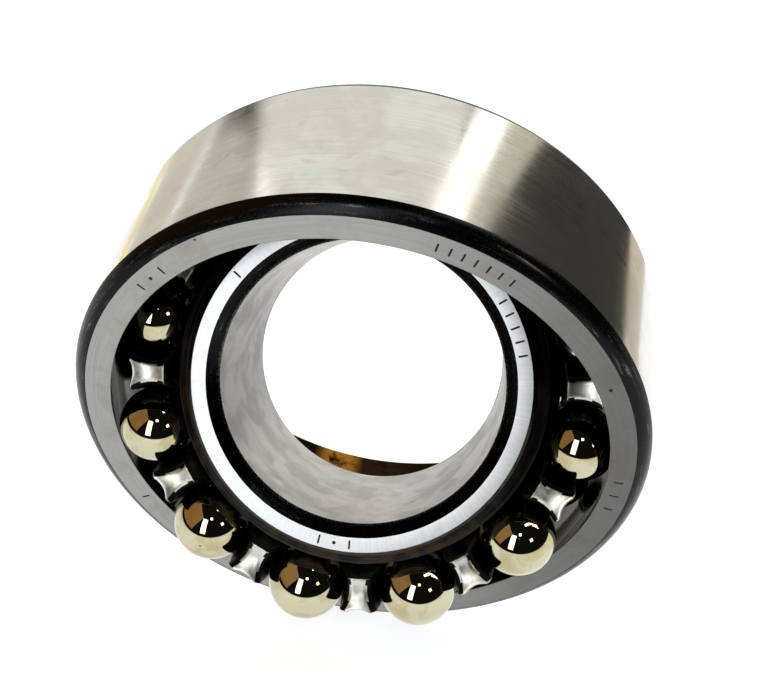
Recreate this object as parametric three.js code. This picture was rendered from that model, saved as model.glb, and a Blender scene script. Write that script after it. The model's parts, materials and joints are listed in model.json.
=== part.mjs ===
// Self-aligning double-row ball bearing with a tapered bore.
//
// Two rows of balls run in the two grooves of the inner ring and on one hollow
// spherical raceway in the outer ring, so the inner ring, the cage and the balls
// can swivel together about the centre of the bearing. They are swivelled out
// here, as the bearing is turned by hand for cleaning and inspection.
//
// Millimetres. The outer ring's axis is Y and its front face looks along -Y.
// +Z is up, and the origin is the centre of the bearing.

import * as THREE from 'three';

// Driving dimensions of the bearing
const OUTSIDE_DIAMETER = 130;
const WIDTH = 46;
const SMALL_END_OF_BORE = 60;
const BORE_TAPER = 1 / 12;
const MOUTH_DIAMETER = 111.8;
const BALL_DIAMETER = 17.4625;
const BALLS_PER_ROW = 12;
const CONTACT_ANGLE = THREE.MathUtils.degToRad(12.4);
const RUNNING_GAP = 0.3;

// How far the inside is swivelled out, and where its first ball then stands
const SWIVEL = THREE.MathUtils.degToRad(-34.8);
const FIRST_BALL = THREE.MathUtils.degToRad(-99.4);

// Outer ring
const CORNER_ACROSS_FACE = 3.2;
const FRONT_CORNER_DEPTH = 2.9;
const BACK_CORNER_DEPTH = 3.8;
const CORNER_ROUND = 5;

// Inner ring
const FACE_DIAMETER = 75.4;
const SHOULDER_DIAMETER = 76.9;
const EDGE_BREAK = 0.7;
const SHOULDER_WIDTH = 4;
const LAND_DIAMETER = 83.2;
const RIB_DIAMETER = 88.4;
const BORE_CHAMFER_RADIUS = 34.4;
const BORE_CHAMFER_DEPTH = 2.9;

// Cage: two crowns, each one corrugated ribbon of pressed sheet steel
const SHEET = 1.2;
const CAGE_INSIDE_RADIUS = 45;
const CAGE_OUTSIDE_RADIUS = 53;
const POCKET_CLEARANCE = 0.6;
const WALL_BEYOND_BALL_CENTRE = 5.4;
const WALL_SPREAD = 0.5;
const WALL_LEAN = 1.2;
const BEND_RADIUS = 0.8;
const FINGER_DISH = 0.7;

// Fineness
const RING_SEGMENTS = 72;
const RACEWAY_STEPS = 10;
const GROOVE_STEPS = 5;
const CORNER_STEPS = 2;
const BALL_DETAIL = 2;
const POCKET_STEPS = 4;
const RIBBON_STRIPS = 2;

// Worked out from the driving dimensions
const HALF_WIDTH = WIDTH / 2;
const BALL_RADIUS = BALL_DIAMETER / 2;
const MOUTH_RADIUS = MOUTH_DIAMETER / 2;
const SPHERE_RADIUS = Math.hypot(MOUTH_RADIUS, HALF_WIDTH);
const BALL_DISTANCE = SPHERE_RADIUS - RUNNING_GAP - BALL_RADIUS;
const ROW_RADIUS = BALL_DISTANCE * Math.cos(CONTACT_ANGLE);
const ROW_OFFSET = BALL_DISTANCE * Math.sin(CONTACT_ANGLE);
const PITCH_ANGLE = (2 * Math.PI) / BALLS_PER_ROW;
const POCKET_RADIUS = BALL_RADIUS + POCKET_CLEARANCE + SHEET / 2;
const GOLDEN_RATIO = (1 + Math.sqrt(5)) / 2;
const ICOSAHEDRON_TILT = Math.atan(1 / GOLDEN_RATIO);

const outerRingSteel = new THREE.MeshStandardMaterial({
  color: 0x9b9a94,
  roughness: 0.38,
  metalness: 1,
});
const innerRingSteel = new THREE.MeshStandardMaterial({
  color: 0xb4b5b2,
  roughness: 0.3,
  metalness: 1,
});
const cageSteel = new THREE.MeshStandardMaterial({
  color: 0xa3a199,
  roughness: 0.32,
  metalness: 1,
});
const ballSteel = new THREE.MeshStandardMaterial({
  color: 0xc9c3ac,
  roughness: 0.08,
  metalness: 1,
});

// Points of an arc in the profile plane, both ends included.
function arcPoints(centre, radius, startAngle, endAngle, steps) {
  const points = [];
  for (let i = 0; i <= steps; i += 1) {
    const angle = startAngle + ((endAngle - startAngle) * i) / steps;
    points.push(new THREE.Vector2(
      centre.x + radius * Math.cos(angle),
      centre.y + radius * Math.sin(angle),
    ));
  }
  return points;
}

// A slightly rounded corner from one point to the next, bulging to the right of the way there.
function roundedCorner(from, to) {
  const along = to.clone().sub(from);
  const half = along.length() / 2;
  const inward = new THREE.Vector2(-along.y, along.x).normalize();
  const centre = from.clone().add(to).multiplyScalar(0.5);
  centre.addScaledVector(inward, Math.sqrt(CORNER_ROUND ** 2 - half ** 2));
  const startAngle = Math.atan2(from.y - centre.y, from.x - centre.x);
  const endAngle = Math.atan2(to.y - centre.y, to.x - centre.x);
  return arcPoints(centre, CORNER_ROUND, startAngle, endAngle, CORNER_STEPS);
}

// Turns a closed profile of (radius, height) points about Y. A flat, not an edge, is at the bottom.
function turnedRing(profile) {
  const halfStep = Math.PI / RING_SEGMENTS;
  const closed = [...profile, profile[0].clone()];
  return new THREE.LatheGeometry(closed, RING_SEGMENTS, halfStep);
}

function outerRingShape() {
  // The flats between the edges touch the outside diameter
  const rim = OUTSIDE_DIAMETER / 2 / Math.cos(Math.PI / RING_SEGMENTS);
  const faceEdge = OUTSIDE_DIAMETER / 2 - CORNER_ACROSS_FACE;
  const frontCorner = roundedCorner(
    new THREE.Vector2(faceEdge, -HALF_WIDTH),
    new THREE.Vector2(rim, -HALF_WIDTH + FRONT_CORNER_DEPTH),
  );
  const backCorner = roundedCorner(
    new THREE.Vector2(rim, HALF_WIDTH - BACK_CORNER_DEPTH),
    new THREE.Vector2(faceEdge, HALF_WIDTH),
  );
  const mouthAngle = Math.asin(HALF_WIDTH / SPHERE_RADIUS);
  const raceway = arcPoints(
    new THREE.Vector2(0, 0), SPHERE_RADIUS, mouthAngle, -mouthAngle, RACEWAY_STEPS,
  );
  return turnedRing([...frontCorner, ...backCorner, ...raceway]);
}

// Groove of one row, from the land beside the outer shoulder to the rib in the middle.
function groovePoints(side) {
  const radius = BALL_RADIUS + RUNNING_GAP;
  const landDrop = ROW_RADIUS - LAND_DIAMETER / 2;
  const ribDrop = ROW_RADIUS - RIB_DIAMETER / 2;
  const landAngle = Math.atan2(-landDrop, Math.sqrt(radius ** 2 - landDrop ** 2));
  const ribAngle = Math.atan2(-ribDrop, -Math.sqrt(radius ** 2 - ribDrop ** 2));
  const points = [];
  for (let i = 0; i <= GROOVE_STEPS; i += 1) {
    const angle = landAngle + ((ribAngle - landAngle) * i) / GROOVE_STEPS;
    points.push(new THREE.Vector2(
      ROW_RADIUS + radius * Math.sin(angle),
      side * (ROW_OFFSET + radius * Math.cos(angle)),
    ));
  }
  return points;
}

// One half of the inner ring's outside, from its side face to the rib in the middle.
function innerRingSide(side) {
  const stepHeight = HALF_WIDTH - SHOULDER_WIDTH;
  return [
    new THREE.Vector2(FACE_DIAMETER / 2, side * HALF_WIDTH),
    new THREE.Vector2(SHOULDER_DIAMETER / 2, side * (HALF_WIDTH - EDGE_BREAK)),
    new THREE.Vector2(SHOULDER_DIAMETER / 2, side * stepHeight),
    new THREE.Vector2(LAND_DIAMETER / 2, side * (stepHeight - EDGE_BREAK)),
    ...groovePoints(side),
  ];
}

function boreRadius(y) {
  return SMALL_END_OF_BORE / 2 + ((HALF_WIDTH - y) * BORE_TAPER) / 2;
}

function innerRingShape() {
  const chamferEnd = HALF_WIDTH - BORE_CHAMFER_DEPTH;
  const chamferAcross = BORE_CHAMFER_RADIUS - boreRadius(-chamferEnd);
  const bore = [
    new THREE.Vector2(boreRadius(chamferEnd) + chamferAcross, HALF_WIDTH),
    new THREE.Vector2(boreRadius(chamferEnd), chamferEnd),
    new THREE.Vector2(boreRadius(-chamferEnd), -chamferEnd),
    new THREE.Vector2(BORE_CHAMFER_RADIUS, -HALF_WIDTH),
  ];
  return turnedRing([...innerRingSide(-1), ...innerRingSide(1).reverse(), ...bore]);
}

// Height of the cage's finger above the ball centres. It is dished along the radius.
function wallTop(radius) {
  const middle = (CAGE_INSIDE_RADIUS + CAGE_OUTSIDE_RADIUS) / 2;
  const reach = (CAGE_OUTSIDE_RADIUS - CAGE_INSIDE_RADIUS) / 2;
  return WALL_BEYOND_BALL_CENTRE + FINGER_DISH * ((radius - middle) / reach) ** 2;
}

// The angle, seen from the bearing's axis, between a pocket's middle and the place where a circle
// round a point at that distance from the axis crosses the given radius.
function angleOffPocket(radius, distance, circle) {
  const cosine = (radius ** 2 + distance ** 2 - circle ** 2) / (2 * radius * distance);
  return Math.acos(Math.min(cosine, 1));
}

// Half of one corrugation at one radius: [angle from the pocket, height beyond the ball centres].
// The ribbon goes behind the ball, up beside it while it spreads and leans towards the axis, bends
// over and crosses to the next pocket.
function ribbonStations(radius, towardsBall) {
  const pocket = POCKET_RADIUS - (towardsBall * SHEET) / 2;
  const bend = BEND_RADIUS + (towardsBall * SHEET) / 2;
  const offCentre = radius - ROW_RADIUS;
  const depth = Math.sqrt(pocket ** 2 - offCentre ** 2);
  const stations = [];
  for (let i = 0; i <= POCKET_STEPS; i += 1) {
    const turn = (Math.PI / 2) * (i / POCKET_STEPS);
    const away = Math.hypot(offCentre, depth * Math.sin(turn));
    stations.push([angleOffPocket(radius, ROW_RADIUS, away), -depth * Math.cos(turn)]);
  }
  const wallAngle = angleOffPocket(radius, ROW_RADIUS - WALL_LEAN, pocket + WALL_SPREAD);
  const top = wallTop(radius);
  stations.push([wallAngle, top]);
  const halfTurn = Math.SQRT1_2;
  stations.push([wallAngle + (bend * (1 - halfTurn)) / radius, top + bend * halfTurn]);
  stations.push([wallAngle + bend / radius, top + bend]);
  stations.push([PITCH_ANGLE / 2, top + bend]);
  return stations;
}

// One whole corrugation, from just after one finger's middle to the next finger's middle.
function ribbonPitch(radius, towardsBall) {
  const half = ribbonStations(radius, towardsBall);
  const before = half.slice(1, -1).reverse().map(([angle, height]) => [-angle, height]);
  return [...before, ...half];
}

// A crown cage is a closed ribbon: at every station round it, a loop of points goes out
// along the side towards the balls and back along the other side.
function crownCageShape(side, firstBall) {
  const loops = [];
  for (const towardsBall of [1, -1]) {
    for (let strip = 0; strip <= RIBBON_STRIPS; strip += 1) {
      const share = towardsBall > 0 ? strip / RIBBON_STRIPS : 1 - strip / RIBBON_STRIPS;
      const radius = THREE.MathUtils.lerp(CAGE_INSIDE_RADIUS, CAGE_OUTSIDE_RADIUS, share);
      loops.push({ radius, pitch: ribbonPitch(radius, towardsBall) });
    }
  }
  const perPitch = loops[0].pitch.length;
  const stationCount = perPitch * BALLS_PER_ROW;
  const positions = [];
  for (let ball = 0; ball < BALLS_PER_ROW; ball += 1) {
    for (let station = 0; station < perPitch; station += 1) {
      for (const { radius, pitch } of loops) {
        const [angle, height] = pitch[station];
        const around = firstBall + ball * PITCH_ANGLE + angle;
        positions.push(
          radius * Math.cos(around),
          side * (ROW_OFFSET + height),
          radius * Math.sin(around),
        );
      }
    }
  }
  const indices = [];
  const loopLength = loops.length;
  for (let station = 0; station < stationCount; station += 1) {
    const here = station * loopLength;
    const next = ((station + 1) % stationCount) * loopLength;
    for (let i = 0; i < loopLength; i += 1) {
      const j = (i + 1) % loopLength;
      const quad = [here + i, here + j, next + j, next + i];
      if (side > 0) quad.reverse();
      indices.push(quad[0], quad[1], quad[2], quad[0], quad[2], quad[3]);
    }
  }
  const geometry = new THREE.BufferGeometry();
  geometry.setAttribute('position', new THREE.Float32BufferAttribute(positions, 3));
  geometry.setIndex(indices);
  geometry.computeVertexNormals();
  return geometry;
}

function namedMesh(name, geometry, material) {
  const mesh = new THREE.Mesh(geometry, material);
  mesh.name = name;
  return mesh;
}

// A ball with a vertex at each end of the bearing's own axis, so that its box there is a true one.
function ballShape() {
  const sphere = new THREE.IcosahedronGeometry(BALL_RADIUS, BALL_DETAIL);
  sphere.rotateZ(-ICOSAHEDRON_TILT);
  sphere.rotateX(-SWIVEL);
  return sphere;
}

// One row of balls, each its own mesh at its own place.
function ballRow(rowName, side, firstBall) {
  const row = new THREE.Group();
  for (let i = 0; i < BALLS_PER_ROW; i += 1) {
    const around = firstBall + i * PITCH_ANGLE;
    const number = String(i + 1).padStart(2, '0');
    const ball = namedMesh(`ball_${rowName}_${number}`, ballShape(), ballSteel);
    ball.position.set(
      ROW_RADIUS * Math.cos(around),
      side * ROW_OFFSET,
      ROW_RADIUS * Math.sin(around),
    );
    row.add(ball);
  }
  return row;
}

// Everything that swivels inside the outer ring.
function swivellingInside() {
  const inside = new THREE.Group();
  const secondRow = FIRST_BALL + PITCH_ANGLE / 2;
  inside.add(
    namedMesh('inner_ring', innerRingShape(), innerRingSteel),
    namedMesh('cage_front', crownCageShape(-1, FIRST_BALL), cageSteel),
    namedMesh('cage_back', crownCageShape(1, secondRow), cageSteel),
    ballRow('front', -1, FIRST_BALL),
    ballRow('back', 1, secondRow),
  );
  inside.rotation.x = SWIVEL;
  return inside;
}

const bearing = new THREE.Group();
bearing.add(
  namedMesh('outer_ring', outerRingShape(), outerRingSteel),
  swivellingInside(),
);

export default bearing;
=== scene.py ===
# %% [markdown]
# # A self-aligning ball bearing, swivelled out
#
# The bearing has an outer ring with one hollow spherical raceway, an inner ring with two grooves and a
# tapered bore, two rows of balls, and a pressed steel cage made of two crowns. The inner ring, the cage
# and the balls swivel together inside the outer ring, and here they are turned out of it, as they are for
# cleaning.
#
# The sizes and the places come from a finished mechanical model, which is loaded first and never changed.
# Each of its pieces is then replaced by a finer one of the same size, with a real finish.

# %% Load the mechanical model as the fixed frame
import json
import math

import bmesh
import bpy
from mathutils import Matrix, Vector


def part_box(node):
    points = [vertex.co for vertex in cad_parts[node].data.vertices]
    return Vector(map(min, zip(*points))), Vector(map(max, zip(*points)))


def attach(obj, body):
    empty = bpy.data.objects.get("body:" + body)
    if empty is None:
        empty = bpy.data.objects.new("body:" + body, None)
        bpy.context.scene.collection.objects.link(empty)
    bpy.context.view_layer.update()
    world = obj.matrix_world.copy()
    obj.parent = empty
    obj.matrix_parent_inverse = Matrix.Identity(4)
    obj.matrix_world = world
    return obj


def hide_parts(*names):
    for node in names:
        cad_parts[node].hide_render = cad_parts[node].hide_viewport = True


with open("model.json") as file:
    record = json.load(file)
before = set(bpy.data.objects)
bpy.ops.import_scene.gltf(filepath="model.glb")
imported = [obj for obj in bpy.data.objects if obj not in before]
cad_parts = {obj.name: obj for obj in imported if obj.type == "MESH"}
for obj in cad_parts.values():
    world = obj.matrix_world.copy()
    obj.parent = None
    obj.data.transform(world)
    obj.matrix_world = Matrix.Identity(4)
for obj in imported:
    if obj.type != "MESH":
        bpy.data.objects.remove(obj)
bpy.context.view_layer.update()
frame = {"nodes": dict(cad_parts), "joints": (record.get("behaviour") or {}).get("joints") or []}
print("pieces in the frame:", len(frame["nodes"]))

# %% [markdown]
# ## Measure the frame
#
# Places are read from the frame, so that nothing has to be fitted afterwards. The spin axis of the inner
# ring gives the angle of the swivel, the ball nodes give the two ball circles, and the outer ring's box
# gives its diameter and width. Profiles are easier to read in millimetres, so every length below is in
# millimetres, and only the last step of each piece turns it into metres.

# %% Read the swivel, the rings and the ball circles
MM = 0.001
BALLS_PER_ROW = 12


def node_centre(node):
    low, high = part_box(node)
    return (low + high) / 2


def ball_nodes(row):
    return [f"ball_{row}_{number:02d}" for number in range(1, BALLS_PER_ROW + 1)]


spin = next(joint for joint in frame["joints"] if joint["name"] == "inner_ring_spin")
swivel_angle = math.atan2(spin["axis"][2], spin["axis"][1])
swivel = Matrix.Rotation(swivel_angle, 4, "X")

outer_low, outer_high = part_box("outer_ring")
outside_radius = round((outer_high.x - outer_low.x) / 2 / MM, 2)
half_width = round((outer_high.y - outer_low.y) / 2 / MM, 2)


def row_in_bearing(row):
    """Radius of a row's ball circle, its place along the axis and the angle of its first ball."""
    first = swivel.inverted() @ node_centre(ball_nodes(row)[0]) / MM
    return math.hypot(first.x, first.z), first.y, math.atan2(first.z, first.x)


def radius_of_ball(node):
    centre = node_centre(node)
    return max((vertex.co - centre).length for vertex in frame["nodes"][node].data.vertices) / MM


row_radius, _, front_first = row_in_bearing("front")
_, row_offset, back_first = row_in_bearing("back")
ball_radius = radius_of_ball("ball_front_01")
print(f"swivel {math.degrees(swivel_angle):.1f} degrees, outside radius {outside_radius:.1f} mm")
print(f"ball circle {row_radius:.2f} mm, rows at {row_offset:.2f} mm, ball radius {ball_radius:.3f} mm")

# %% [markdown]
# ## The camera
#
# The camera looks down on the bearing's front from about 43 degrees, a little from its right, with a lens
# of about 63 mm. It is close, so the near balls look larger than the far ones. It is placed from an aim
# point, an azimuth, an elevation and a distance, and then rolled slightly, as a camera held in the hand
# is.

# %% Place the camera
CAMERA_AZIMUTH = 6.76
CAMERA_ELEVATION = 42.84
CAMERA_DISTANCE = 318.2
CAMERA_ROLL = 3.17
CAMERA_AIM = (3.26, 3.72, 3.57)
LENS = 62.6
CLIP_NEAR, CLIP_FAR = 0.01, 50


def place_camera():
    camera_data = bpy.data.cameras.new("camera")
    camera = bpy.data.objects.new("camera", camera_data)
    bpy.context.scene.collection.objects.link(camera)
    camera_data.lens = LENS
    azimuth, elevation = math.radians(CAMERA_AZIMUTH), math.radians(CAMERA_ELEVATION)
    back = Vector((
        math.sin(azimuth) * math.cos(elevation),
        -math.cos(azimuth) * math.cos(elevation),
        math.sin(elevation),
    ))
    camera.rotation_mode = "QUATERNION"
    level = (-back).to_track_quat("-Z", "Y")
    roll = Matrix.Rotation(math.radians(CAMERA_ROLL), 3, "Z").to_quaternion()
    camera.rotation_quaternion = level @ roll
    camera.location = (Vector(CAMERA_AIM) + back * CAMERA_DISTANCE) * MM
    camera_data.clip_start, camera_data.clip_end = CLIP_NEAR, CLIP_FAR
    bpy.context.scene.camera = camera
    return camera


camera = place_camera()
print("camera at", [round(value, 3) for value in camera.location])

# %% [markdown]
# ## A helper for Geometry Nodes
#
# A tree is a small machine with named inputs. The helper makes a tree with a mesh input and the named
# inputs that it is asked for. A second helper hangs the tree on a mesh, sets its inputs by their
# identifiers, and takes the result off as a plain mesh, so that the finished piece carries no modifier.

# %% Build, feed and apply Geometry Nodes trees
SOCKET_KINDS = {
    float: "NodeSocketFloat",
    int: "NodeSocketInt",
    bpy.types.Material: "NodeSocketMaterial",
}


def new_tree(name, inputs):
    """A tree with a mesh input, the named inputs and one mesh output."""
    tree = bpy.data.node_groups.new(name, "GeometryNodeTree")
    face = tree.interface
    face.new_socket("Mesh", in_out="INPUT", socket_type="NodeSocketGeometry")
    for label, kind in inputs.items():
        face.new_socket(label, in_out="INPUT", socket_type=SOCKET_KINDS[kind])
    face.new_socket("Mesh", in_out="OUTPUT", socket_type="NodeSocketGeometry")
    tree.nodes.new("NodeGroupInput").name = "in"
    tree.nodes.new("NodeGroupOutput").name = "out"
    return tree


def add(tree, kind, links=None, **settings):
    """A node of a tree, with settings on the node and links or values on its inputs."""
    node = tree.nodes.new(kind)
    for key, value in settings.items():
        setattr(node, key, value)
    for socket, source in (links or {}).items():
        if isinstance(source, bpy.types.NodeSocket):
            tree.links.new(source, node.inputs[socket])
        else:
            node.inputs[socket].default_value = source
    return node


def give_one_finish(mesh, finish):
    """Leaves a mesh with a single material slot, which all its faces use."""
    mesh.materials.clear()
    mesh.materials.append(finish)
    for face in mesh.polygons:
        face.material_index = 0


def plain_mesh(name, mesh, tree, values):
    """Runs a tree on a mesh and returns a new object that holds the result as a plain mesh."""
    worker = bpy.data.objects.new(name + "_worker", mesh)
    bpy.context.scene.collection.objects.link(worker)
    modifier = worker.modifiers.new("tree", "NODES")
    modifier.node_group = tree
    for item in tree.interface.items_tree:
        if item.in_out == "INPUT" and item.name in values:
            modifier[item.identifier] = values[item.name]
    evaluated = worker.evaluated_get(bpy.context.evaluated_depsgraph_get())
    result = bpy.data.meshes.new_from_object(evaluated)
    bpy.data.objects.remove(worker)
    give_one_finish(result, values["Finish"])
    piece = bpy.data.objects.new(name, result)
    bpy.context.scene.collection.objects.link(piece)
    return piece


def triangle_count(piece):
    return sum(len(polygon.vertices) - 2 for polygon in piece.data.polygons)


def finish_piece(piece, body, nodes):
    """Puts a finished piece on its body and lets it stand for its nodes of the model."""
    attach(piece, body)
    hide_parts(*nodes)


print("kinds of tree input:", [kind.__name__ for kind in SOCKET_KINDS])

# %% [markdown]
# ## Two trees that the whole bearing shares
#
# Things that repeat round the axis, such as the corrugations of a cage or a row of etched ticks, could be
# copied by hand with an array. One tree does it better: it takes a single unit, made in place at angle
# zero, and puts turned instances of it on points at the centre. The instances are then realized and
# welded.
#
# The other tree makes a ball at a given point from an icosphere, whose faces are all nearly the same
# size, so that a mirror finish shows no pole.

# %% The repeating tree and the ball tree
WELD = 0.002 * MM


def close_tree(tree, geometry, finish):
    """The end of every tree: weld, realize, shade smooth and set the material."""
    welded = add(tree, "GeometryNodeMergeByDistance", {"Geometry": geometry, "Distance": WELD})
    smooth = add(tree, "GeometryNodeSetShadeSmooth", {"Geometry": welded.outputs["Geometry"]})
    real = add(tree, "GeometryNodeRealizeInstances", {"Geometry": smooth.outputs["Geometry"]})
    finished = add(tree, "GeometryNodeSetMaterial", {
        "Geometry": real.outputs["Geometry"], "Material": finish,
    })
    tree.links.new(finished.outputs["Geometry"], tree.nodes["out"].inputs["Mesh"])


def repeating_tree():
    """Repeats a unit round the Y axis. An angle runs from +X towards +Z."""
    tree = new_tree("round_the_axis", {
        "Count": int, "First Angle": float, "Step Angle": float, "Finish": bpy.types.Material,
    })
    given = tree.nodes["in"].outputs
    points = add(tree, "GeometryNodeMeshLine", {"Count": given["Count"], "Offset": (0, 0, 0)})
    index = add(tree, "GeometryNodeInputIndex")
    turn = add(tree, "ShaderNodeMath", {
        0: index.outputs["Index"], 1: given["Step Angle"], 2: given["First Angle"],
    }, operation="MULTIPLY_ADD")
    against = add(tree, "ShaderNodeMath", {0: turn.outputs["Value"], 1: -1.0}, operation="MULTIPLY")
    about_y = add(tree, "ShaderNodeCombineXYZ", {"Y": against.outputs["Value"]})
    rotation = add(tree, "FunctionNodeEulerToRotation", {"Euler": about_y.outputs["Vector"]})
    copies = add(tree, "GeometryNodeInstanceOnPoints", {
        "Points": points.outputs["Mesh"], "Instance": given["Mesh"],
        "Rotation": rotation.outputs["Rotation"],
    })
    joined = add(tree, "GeometryNodeRealizeInstances", {"Geometry": copies.outputs["Instances"]})
    close_tree(tree, joined.outputs["Geometry"], given["Finish"])
    return tree


def ball_tree():
    """Puts an icosphere on each point of the mesh it is given."""
    tree = new_tree("ball_on_point", {"Radius": float, "Subdivisions": int, "Finish": bpy.types.Material})
    given = tree.nodes["in"].outputs
    sphere = add(tree, "GeometryNodeMeshIcoSphere", {
        "Radius": given["Radius"], "Subdivisions": given["Subdivisions"],
    })
    placed = add(tree, "GeometryNodeInstanceOnPoints", {
        "Points": given["Mesh"], "Instance": sphere.outputs["Mesh"],
    })
    joined = add(tree, "GeometryNodeRealizeInstances", {"Geometry": placed.outputs["Instances"]})
    close_tree(tree, joined.outputs["Geometry"], given["Finish"])
    return tree


repeating = repeating_tree()
balls_on_points = ball_tree()
print("trees", repeating.name, "and", balls_on_points.name)

# %% [markdown]
# ## Turning a ring
#
# A bearing ring is turned on a lathe and then ground, so its shape is one profile swept round an axis.
# The profile is a closed loop of edges, and the tree turns the loop into a curve and sweeps it along a
# circle. A lathe made of a Spin operator would do too, but the tree keeps the profile and the fineness
# apart.
#
# Real edges are never quite sharp: each corner of a profile gets a small fillet that catches the light.

# %% The tree that turns a profile
PATH_RADIUS = 50.0
TURNING_STEPS = 240


def turning_tree():
    """Sweeps a loop, drawn as (distance from the axis, place along the axis), round the Y axis."""
    tree = new_tree("turned_ring", {"Steps": int, "Path Radius": float, "Finish": bpy.types.Material})
    given = tree.nodes["in"].outputs
    loop = add(tree, "GeometryNodeMeshToCurve", {"Mesh": given["Mesh"]})
    path = add(tree, "GeometryNodeCurvePrimitiveCircle", {
        "Resolution": given["Steps"], "Radius": given["Path Radius"],
    }, mode="RADIUS")
    ring = add(tree, "GeometryNodeCurveToMesh", {
        "Curve": path.outputs["Curve"], "Profile Curve": loop.outputs["Curve"],
    })
    upright = add(tree, "GeometryNodeTransform", {
        "Geometry": ring.outputs["Mesh"], "Rotation": (-math.pi / 2, 0, 0),
    })
    close_tree(tree, upright.outputs["Geometry"], given["Finish"])
    return tree


turning = turning_tree()
print("tree", turning.name, "with", len(turning.nodes), "nodes")

# %% Profiles with arcs and fillets
FILLET_STEPS = 4
CORNER_STEPS = 8
CREASE_ANGLE = math.radians(28)


def arc(centre, radius, start, end, steps):
    """Points of an arc, both ends included."""
    angles = [start + (end - start) * i / steps for i in range(steps + 1)]
    return [Vector((centre[0] + radius * math.cos(a), centre[1] + radius * math.sin(a))) for a in angles]


def arc_between(centre, start, end, steps):
    """The arc from one point to another round a centre, the shorter way."""
    centre, start, end = Vector(centre), Vector(start), Vector(end)
    first = math.atan2(start.y - centre.y, start.x - centre.x)
    turn = math.atan2(end.y - centre.y, end.x - centre.x) - first
    turn = (turn + math.pi) % (2 * math.pi) - math.pi
    return arc(centre, (start - centre).length, first, first + turn, steps)


def bulged(start, end, radius):
    """A shallow arc from one point to another, bulging to the right of the way there."""
    start, end = Vector(start), Vector(end)
    along = end - start
    inward = Vector((-along.y, along.x)).normalized()
    centre = (start + end) / 2 + inward * math.sqrt(radius ** 2 - (along.length / 2) ** 2)
    return arc_between(centre, start, end, CORNER_STEPS)


def filleted(loop, fillets):
    """Rounds some corners of a closed loop. fillets maps a corner's number to its radius."""
    points = []
    for i, corner in enumerate(loop):
        if i not in fillets:
            points.append(corner)
            continue
        back = (loop[i - 1] - corner).normalized()
        ahead = (loop[(i + 1) % len(loop)] - corner).normalized()
        half = math.acos(max(-1.0, min(1.0, back.dot(ahead)))) / 2
        reach = fillets[i] / math.tan(half)
        start, end = corner + back * reach, corner + ahead * reach
        for step in range(FILLET_STEPS + 1):
            share = step / FILLET_STEPS
            points.append(start * (1 - share) ** 2 + corner * 2 * share * (1 - share) + end * share ** 2)
    return points


def turned(name, loop, finish):
    """A ring about the Y axis, made by the turning tree from a loop in millimetres.

    The tree sweeps a profile's Y against the axis, so the loop's second number is handed over negated.
    """
    profile = bpy.data.meshes.new(name + "_profile")
    corners = [((point.x - PATH_RADIUS) * MM, -point.y * MM, 0) for point in loop]
    edges = [(i, (i + 1) % len(corners)) for i in range(len(corners))]
    profile.from_pydata(corners, edges, [])
    ring = plain_mesh(name, profile, turning, {
        "Steps": TURNING_STEPS, "Path Radius": PATH_RADIUS * MM, "Finish": finish,
    })
    outward_normals(ring.data)
    return ring


def outward_normals(mesh):
    """Points the faces of a closed mesh outwards, and shades it smooth except at its creases."""
    shell = bmesh.new()
    shell.from_mesh(mesh)
    bmesh.ops.recalc_face_normals(shell, faces=shell.faces)
    shell.to_mesh(mesh)
    shell.free()
    mesh.shade_smooth()
    mesh.set_sharp_from_angle(angle=CREASE_ANGLE)


def give_finishes(ring, finishes, which):
    """Gives each face of a ring the finish that which(distance from the axis, place along it) names."""
    ring.data.materials.clear()
    names = list(finishes)
    for name in names:
        ring.data.materials.append(finishes[name])
    for polygon in ring.data.polygons:
        distance = math.hypot(polygon.center.x, polygon.center.z) / MM
        polygon.material_index = names.index(which(distance, polygon.center.y / MM))


print("a quarter of a circle in 4 steps has", len(arc((0, 0), 1.0, 0.0, math.pi / 2, 4)), "points")

# %% [markdown]
# ## Shader groups that several finishes share
#
# Ground steel is never even. A grinding wheel leaves fine lines that run round the axis, hardening and
# pressing leave a grain, handling leaves soft smudges, oil leaves small brown specks, and sharp edges are
# rubbed bright. Each of these is a node group with its own sizes as inputs, built once, and each gives a
# value that a finish then mixes in. The groups work in millimetres, in coordinates that are turned so
# that Y is the axis of the ring.

# %% Helpers for shader nodes
MIX_FACTOR, MIX_A, MIX_B, MIX_COLOUR = 0, 6, 7, 2
STEEL_SCALE = 1 / MM


def new_shader_group(name, inputs, outputs):
    group = bpy.data.node_groups.new(name, "ShaderNodeTree")
    for label, (kind, value) in inputs.items():
        socket = group.interface.new_socket(label, in_out="INPUT", socket_type=kind)
        if value is not None:
            socket.default_value = value
    for label, kind in outputs.items():
        group.interface.new_socket(label, in_out="OUTPUT", socket_type=kind)
    group.nodes.new("NodeGroupInput").name = "in"
    group.nodes.new("NodeGroupOutput").name = "out"
    return group


def give_out(group, label, socket):
    group.links.new(socket, group.nodes["out"].inputs[label])


def maths(tree, operation, first, second=0.0, third=0.0):
    node = add(tree, "ShaderNodeMath", {0: first, 1: second, 2: third}, operation=operation)
    return node.outputs["Value"]


def span(tree, value, low, high, to_low=0.0, to_high=1.0):
    """Moves a value from one range to another, held inside it, with soft ends."""
    node = add(tree, "ShaderNodeMapRange", {
        "Value": value, "From Min": low, "From Max": high, "To Min": to_low, "To Max": to_high,
    }, interpolation_type="SMOOTHSTEP")
    return node.outputs["Result"]


def blend(tree, factor, first, second):
    """Mixes two colours by a factor."""
    node = add(tree, "ShaderNodeMix", {MIX_FACTOR: factor, MIX_A: first, MIX_B: second}, data_type="RGBA")
    return node.outputs[MIX_COLOUR]


# %% The groups: grinding lines, grain, smudges, specks and worn edges
VECTOR, FLOAT = "NodeSocketVector", "NodeSocketFloat"


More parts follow.
